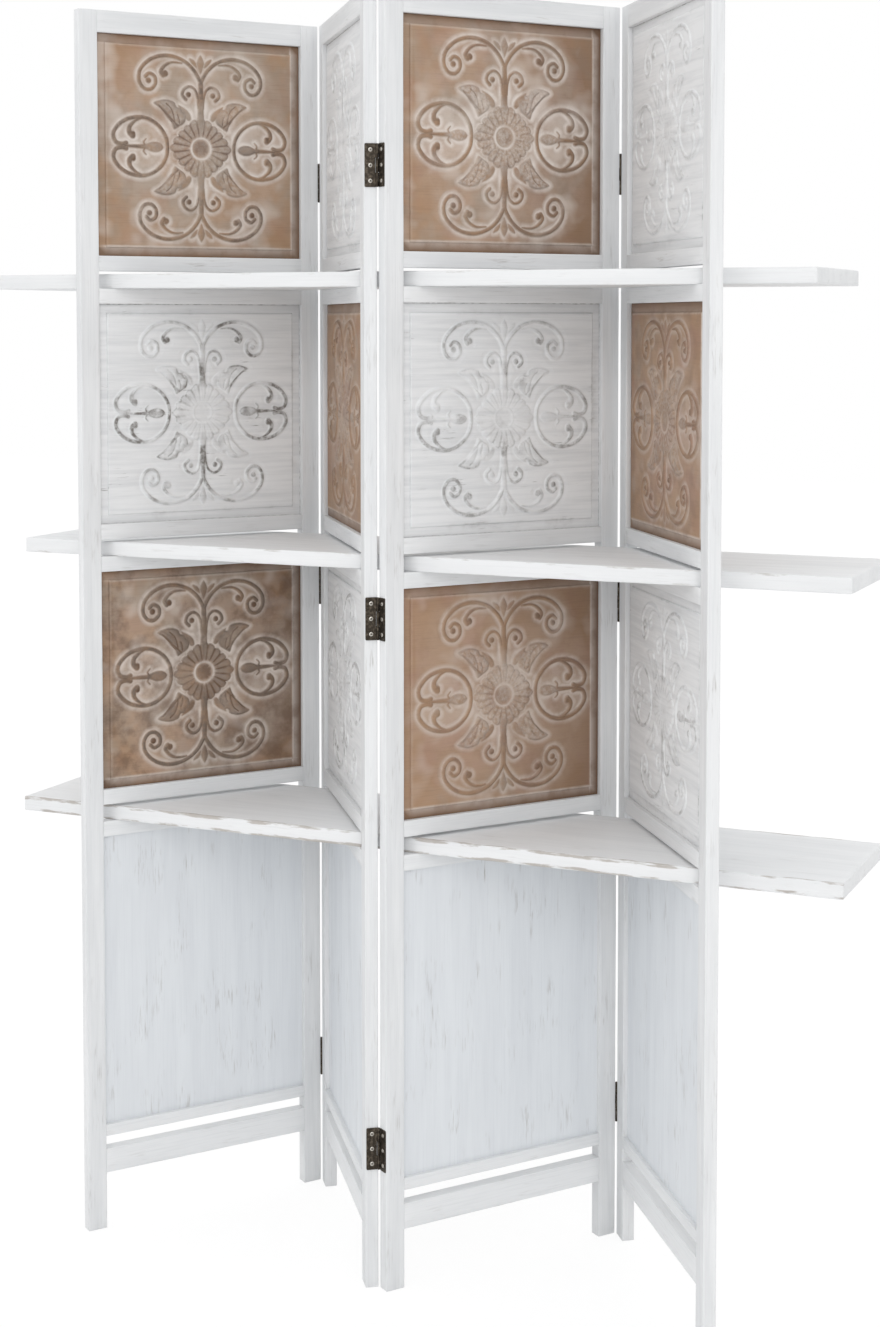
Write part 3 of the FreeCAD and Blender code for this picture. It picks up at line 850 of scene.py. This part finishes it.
class SCREEN_OT_carved_boards(bpy.types.Operator):
    """Makes the twelve carved boards, brown and white in turn"""

    bl_idname = "screen.carved_boards"
    bl_label = "Carved boards"

    # Brown boards: how washed, how dark their ridges, how warm and deep their stain, how much painted shade to
    # the right.
    stained = {
        "panel_1_top": (1.0, 1.0, 0.3, 0.1, 0.0), "panel_1_bottom": (0.8, 1.4, 0.3, 0.7, 0.5),
        "panel_2_middle": (0.5, 0.5, 1.0, 0.3, 0.1), "panel_3_top": (1.0, 0.6, 0.5, 0.1, 0.55),
        "panel_3_bottom": (0.65, 0.5, 0.9, 0.1, 0.5), "panel_4_middle": (0.55, 0.45, 1.0, 0.35, 0.1),
    }
    # White boards: how worn their ridges are.
    painted = {
        "panel_1_middle": 1.15, "panel_2_top": 0.35, "panel_2_bottom": 0.7, "panel_3_middle": 0.8,
        "panel_4_top": 0.4, "panel_4_bottom": 0.6,
    }

    def execute(self, context):
        carving = context.scene.screen_carving
        patterns = {}
        seed = CARVED_FINISH
        for panel in PANELS:
            place = panel_place(panel)
            for level in LEVELS:
                board = f"{panel}_{level}"
                node = f"{board}_carved_board"
                low, high = solid_boxes(node, place)[0]
                brown = board in self.stained
                if brown not in patterns:
                    patterns[brown] = carved_board(carving, high - low, 1.0 if brown else carving.filled)
                seed += 1
                if brown:
                    name = f"pine, carved, stained and washed, {board}"
                    finish = stained_finish(name, seed, *self.stained[board])
                else:
                    finish = painted_finish(f"pine, carved and painted, {board}", seed, self.painted[board])
                mesh = patterns[brown].copy()
                mesh.name = f"{node}_mesh"
                mesh.materials.append(finish)
                centre = place @ Matrix.Translation([(a + b) / 2 for a, b in zip(low, high)])
                new_object(f"{node}_wood", mesh, panel, centre, node)
        for pattern in patterns.values():
            bpy.data.meshes.remove(pattern)
        return {"FINISHED"}


class SCREEN_OT_shelves(bpy.types.Operator):
    """Makes the three planks"""

    bl_idname = "screen.shelves"
    bl_label = "Plank shelves"

    # How worn the top, middle and bottom planks are.
    worn = (0.2, 0.3, 0.85)

    def execute(self, context):
        wood = context.scene.screen_wood
        for number, level in enumerate(LEVELS):
            node = f"{level}_shelf"
            name = f"white washed pine, {level} plank"
            finish = white_wash(name, X, PLANK_FINISH + number, streaked=0.2, wear=self.worn[number])
            box = solid_boxes(node, Matrix())[0]
            seed = PLANK_RUBBING + number
            plank = beam(*box, X, wood.plank_arris, wood.plank_fade, seed, step=10 * MM)
            new_piece(node, "wood", [plank], finish, node, Matrix())
        return {"FINISHED"}


# Hinges

# Rounding of the leaves' edges, chamfer of the knuckles, and how much a pin is thinner than its bore.
ROUNDING = 0.15 * MM
CHAMFER = 0.3 * MM
PIN_PLAY = 0.05 * MM

# A pin's rounded end: shares of its radius, and millimetres from its tip.
PIN_END = ((0.4, 0), (0.8, 0.15), (1.0, 0.5))

# A screw head's rim, its dome above that, its cross recess, half the recess's width, and its hidden depth.
SCREW_RIM = 0.05 * MM
SCREW_DOME = 0.4 * MM
SCREW_RECESS = 0.35 * MM
SCREW_SLOT = 0.45 * MM
SCREW_SUNK = 0.8 * MM

# As shares of a screw head's radius: the rings of points on it, and how far out its recess reaches.
SCREW_RINGS = (0.1, 0.2, 0.3, 0.4, 0.5, 0.56, 0.62, 0.75, 0.9, 1.0)
SCREW_REACH = 0.6

# How far each screw is turned on from the one before, in radians.
SCREW_TURN = 0.9


def hinge_leaf(hinge, low, high, centre, edge, side, own):
    """A leaf's plate, with rounded outer corners, and its knuckles."""
    way, outer = (-1, low) if centre.y > 0 else (1, high)
    far = abs(outer[Y] - centre.y)
    near = hinge.knuckle + hinge.leaf_setback
    middle = (low[Z] + high[Z]) / 2
    half = (high[Z] - low[Z]) / 2
    pitch = 2 * half / 3
    feet = [-half + i * pitch + hinge.knuckle_gap / 2 for i in own]
    rise = pitch - hinge.knuckle_gap
    corner = hinge.corner
    bend = far - corner
    turns = [radians(turn) for turn in range(0, 91, 15)]
    outline = [(near, -half)]
    outline += [(bend + corner * sin(t), -half + corner - corner * cos(t)) for t in turns]
    outline += [(bend + corner * cos(t), half - corner + corner * sin(t)) for t in turns]
    outline += [(near, half)]
    for foot in reversed(feet):
        outline += [(near, foot + rise), (0, foot + rise), (0, foot), (near, foot)]
    points = [
        (x, centre.y + way * out, middle + z)
        for x in (edge, edge + side * hinge.leaf_thickness) for out, z in outline
    ]
    count = len(outline)
    faces = [tuple(range(count)), tuple(range(2 * count - 1, count - 1, -1))]
    parts = [(points, faces + ring_faces((0, count), count), [])]
    barrel = hinge.knuckle
    for foot in feet:
        start, end = middle + foot, middle + foot + rise
        section = [
            (hinge.bore, start), (barrel - CHAMFER, start), (barrel, start + CHAMFER),
            (barrel, end - CHAMFER), (barrel - CHAMFER, end), (hinge.bore, end),
        ]
        parts.append(turned(section, (centre.x, centre.y), ring=True))
    return parts


def hinge_pin(hinge, low, high):
    """A pin with rounded ends."""
    radius = hinge.bore - PIN_PLAY
    start, end = low[Z], high[Z]
    section = [(part * radius, start + rise * MM) for part, rise in PIN_END]
    section += [(r, start + end - z) for r, z in reversed(section)]
    return turned(section, (0, 0), ring=False)


def turned(section, axis, ring, steps=28):
    """A section of radii and heights turned about an upright axis, closed on itself or at its ends."""
    turns = [2 * pi * i / steps for i in range(steps)]
    points = [
        (axis[0] + radius * cos(turn), axis[1] + radius * sin(turn), z)
        for radius, z in section for turn in turns
    ]
    starts = [*range(0, len(points), steps)]
    if ring:
        return points, ring_faces([*starts, 0], steps), []
    ends = [tuple(range(start, start + steps)) for start in (starts[0], starts[-1])]
    return points, ring_faces(starts, steps) + ends, []


def hinge_screw(hinge, middle, seat, side, lean, steps=32):
    """A countersunk screw's head with a cross recess, a little domed, in its leaf."""
    points = [(seat - side * SCREW_RECESS, middle[Y], middle[Z])]
    for part in SCREW_RINGS:
        radius = hinge.head * part
        for i in range(steps):
            turn = 2 * pi * i / steps
            a, b = radius * cos(turn), radius * sin(turn)
            out = SCREW_RIM + SCREW_DOME * sqrt(max(0, 1 - (radius / hinge.head) ** 2))
            if min(abs(a), abs(b)) < SCREW_SLOT and radius < SCREW_REACH * hinge.head:
                out = -SCREW_RECESS
            y = a * cos(lean) - b * sin(lean)
            z = a * sin(lean) + b * cos(lean)
            points.append((seat + side * out, middle[Y] + y, middle[Z] + z))
    points += [(seat - side * SCREW_SUNK, y, z) for _, y, z in points[-steps:]]
    last = len(points) - steps
    faces = [(0, 1 + i, 1 + (i + 1) % steps) for i in range(steps)]
    faces += ring_faces(range(1, last + 1, steps), steps)
    faces.append(tuple(range(last, len(points))))
    return points, faces, []


class SCREEN_OT_hinges(bpy.types.Operator):
    """Makes the butt hinges with their pins and screws"""

    bl_idname = "screen.hinges"
    bl_label = "Butt hinges"

    # The panels that carry each junction's leaves, and the body that carries its pins.
    carriers = {
        "left": {"short": "panel_1", "long": "panel_2", "pins": "panel_2"},
        "middle": {"short": "panel_3", "long": "panel_2", "pins": "middle_pins"},
        "right": {"short": "panel_3", "long": "panel_4", "pins": "panel_4"},
    }
    # The knuckles of each kind of leaf, from below, out of three.
    knuckles = {"short": (1,), "long": (0, 2)}

    def execute(self, context):
        hinge = context.scene.screen_hinge
        bronze, steel = bronzed_steel(), plated_steel()
        for junction, bodies in self.carriers.items():
            pins = f"{junction}_hinge_pins"
            low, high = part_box(pins)
            axis = (low + high) / 2
            axis.z = 0
            place = Matrix.Translation(axis)
            parts = [hinge_pin(hinge, *box) for box in solid_boxes(pins, place)]
            new_piece(pins, "steel", parts, bronze, bodies["pins"], place)
            for kind, own in self.knuckles.items():
                panel = bodies[kind]
                place = panel_place(panel)
                centre = place.inverted() @ axis
                side, stile = (1, "right") if centre.x > 0 else (-1, "left")
                low, high = solid_boxes(f"{panel}_{stile}_stile", place)[0]
                edge = (high if side > 0 else low)[X]
                leaves = f"{junction}_hinge_{kind}_leaves"
                parts = []
                for box in solid_boxes(leaves, place):
                    parts += hinge_leaf(hinge, *box, centre, edge, side, own)
                obj = new_piece(leaves, "steel", parts, bronze, panel, Matrix(), drawn_in=place)
                modifier = obj.modifiers.new("rounded edges", "BEVEL")
                modifier.width = ROUNDING
                modifier.segments = 2
                modifier.limit_method = "ANGLE"
                modifier.angle_limit = SHARP_ANGLE
                screws = f"{junction}_hinge_{kind}_screws"
                seat = edge + side * hinge.leaf_thickness
                parts = [
                    hinge_screw(hinge, (low + high) / 2, seat, side, number * SCREW_TURN)
                    for number, (low, high) in enumerate(solid_boxes(screws, place))
                ]
                new_piece(screws, "steel", parts, steel, panel, Matrix(), drawn_in=place)
        return {"FINISHED"}


# Stage

# Half the floor's width in metres, and how bright it looks to the camera.
FLOOR_REACH = 14.0
FLOOR_GLOW = 1.03

# How far off in metres the screen's faint shadow starts and ends to fade, and the share of glow there.
FLOOR_FADE = (0.6, 2.0, 0.85, 1.0)

# Where the lights point, and each light's place, size in metres and power in watts.
LIGHT_AIM = Vector((0, 0, 0.9))
LIGHTS = {"key light": ((3.4, -6.2, 3.6), 4.0, 105.0), "fill light": ((-5.0, -5.0, 2.5), 4.0, 50.0)}

# How bright the sky is at the horizon and overhead.
SKY = (0.4, 1.35)


def seen(tree):
    """1 for rays from the camera and for mirrored ones, and otherwise 0."""
    rays = add(tree, "LightPath")
    kinds = {0: rays["Is Camera Ray"], 1: rays["Is Glossy Ray"]}
    return add(tree, "Math", kinds, operation="MAXIMUM")["Value"]


def make_floor(context):
    mesh = bpy.data.meshes.new("floor_mesh")
    corners = [(x * FLOOR_REACH, y * FLOOR_REACH, 0) for x, y in ((-1, -1), (1, -1), (1, 1), (-1, 1))]
    mesh.from_pydata(corners, [], [(0, 1, 2, 3)])
    material, tree = new_material("pale painted studio floor")
    matt = add(tree, "BsdfDiffuse", {"Color": (*context.scene.screen_stage.floor, 1)})["BSDF"]
    white = add(tree, "Emission", {"Color": (1, 1, 1, 1), "Strength": FLOOR_GLOW})["Emission"]
    away = add(tree, "VectorMath", {0: add(tree, "TexCoord")["Object"]}, operation="LENGTH")["Value"]
    clear = amount(tree, seen(tree), (away, *FLOOR_FADE))
    mix = add(tree, "MixShader", {0: clear, 1: matt, 2: white})["Shader"]
    add(tree, "OutputMaterial", {"Surface": mix})
    mesh.materials.append(material)
    floor = linked("floor", mesh)


def make_lights(context):
    for name, (place, size, power) in LIGHTS.items():
        light = bpy.data.lights.new(name, "AREA")
        light.size = size
        light.energy = power
        obj = linked(name, light)
        obj.location = place
        obj.rotation_euler = (LIGHT_AIM - obj.location).to_track_quat("-Z", "Y").to_euler()
    world = bpy.data.worlds.new("studio")
    world.use_nodes = True
    tree = world.node_tree
    tree.nodes.clear()
    rise = add(tree, "SeparateXYZ", {0: add(tree, "TexCoord")["Generated"]})["Z"]
    dome = amount(tree, (rise, 0.0, 1.0, *SKY))
    strength = add(tree, "Math", {0: dome, 1: seen(tree)}, operation="MAXIMUM")["Value"]
    sky = add(tree, "Background", {"Color": (1, 1, 1, 1), "Strength": strength})["Background"]
    add(tree, "OutputWorld", {"Surface": sky})
    context.scene.world = world


def make_camera(context):
    stage = context.scene.screen_stage
    camera = bpy.data.cameras.new("camera")
    camera.sensor_width = 36.0
    camera.lens = FOCAL_PIXELS * camera.sensor_width / IMAGE_HEIGHT
    camera.shift_y = (AXIS_ROW - IMAGE_HEIGHT / 2) / IMAGE_HEIGHT
    obj = linked("camera", camera)
    obj.location = stage.camera
    obj.rotation_euler = (pi / 2 - stage.pitch, 0, stage.yaw)
    context.scene.camera = obj
    context.scene.view_settings.view_transform = "Standard"


class SCREEN_OT_stage(bpy.types.Operator):
    """Makes the floor, the lights and the camera"""

    bl_idname = "screen.stage"
    bl_label = "Stage"

    def execute(self, context):
        make_floor(context)
        make_lights(context)
        make_camera(context)
        return {"FINISHED"}


PIECES = (
    SCREEN_OT_frames, SCREEN_OT_lower_boards, SCREEN_OT_carved_boards, SCREEN_OT_shelves, SCREEN_OT_hinges,
    SCREEN_OT_stage,
)
SETTINGS = {
    "screen_wood": WoodSettings, "screen_carving": CarvingSettings, "screen_hinge": HingeSettings,
    "screen_stage": StageSettings,
}


class SCREEN_PT_sidebar(bpy.types.Panel):
    """Lists the screen's pieces and settings"""

    bl_idname = "SCREEN_PT_sidebar"
    bl_label = "Folding Screen"
    bl_space_type = "VIEW_3D"
    bl_region_type = "UI"
    bl_category = "Screen"

    def draw(self, context):
        for piece in PIECES:
            self.layout.operator(piece.bl_idname)
        for key in SETTINGS:
            group = getattr(context.scene, key)
            box = self.layout.box()
            for name in group.__annotations__:
                box.prop(group, name)


CLASSES = (*SETTINGS.values(), *PIECES, SCREEN_PT_sidebar)


def register():
    for cls in CLASSES:
        bpy.utils.register_class(cls)
    for key, cls in SETTINGS.items():
        setattr(bpy.types.Scene, key, bpy.props.PointerProperty(type=cls))


def unregister():
    for key in SETTINGS:
        delattr(bpy.types.Scene, key)
    for cls in reversed(CLASSES):
        bpy.utils.unregister_class(cls)


def main():
    register()
    bpy.ops.screen.frames()
    bpy.ops.screen.lower_boards()
    bpy.ops.screen.carved_boards()
    bpy.ops.screen.shelves()
    bpy.ops.screen.hinges()
    bpy.ops.screen.stage()


if __name__ == "__main__":
    main()
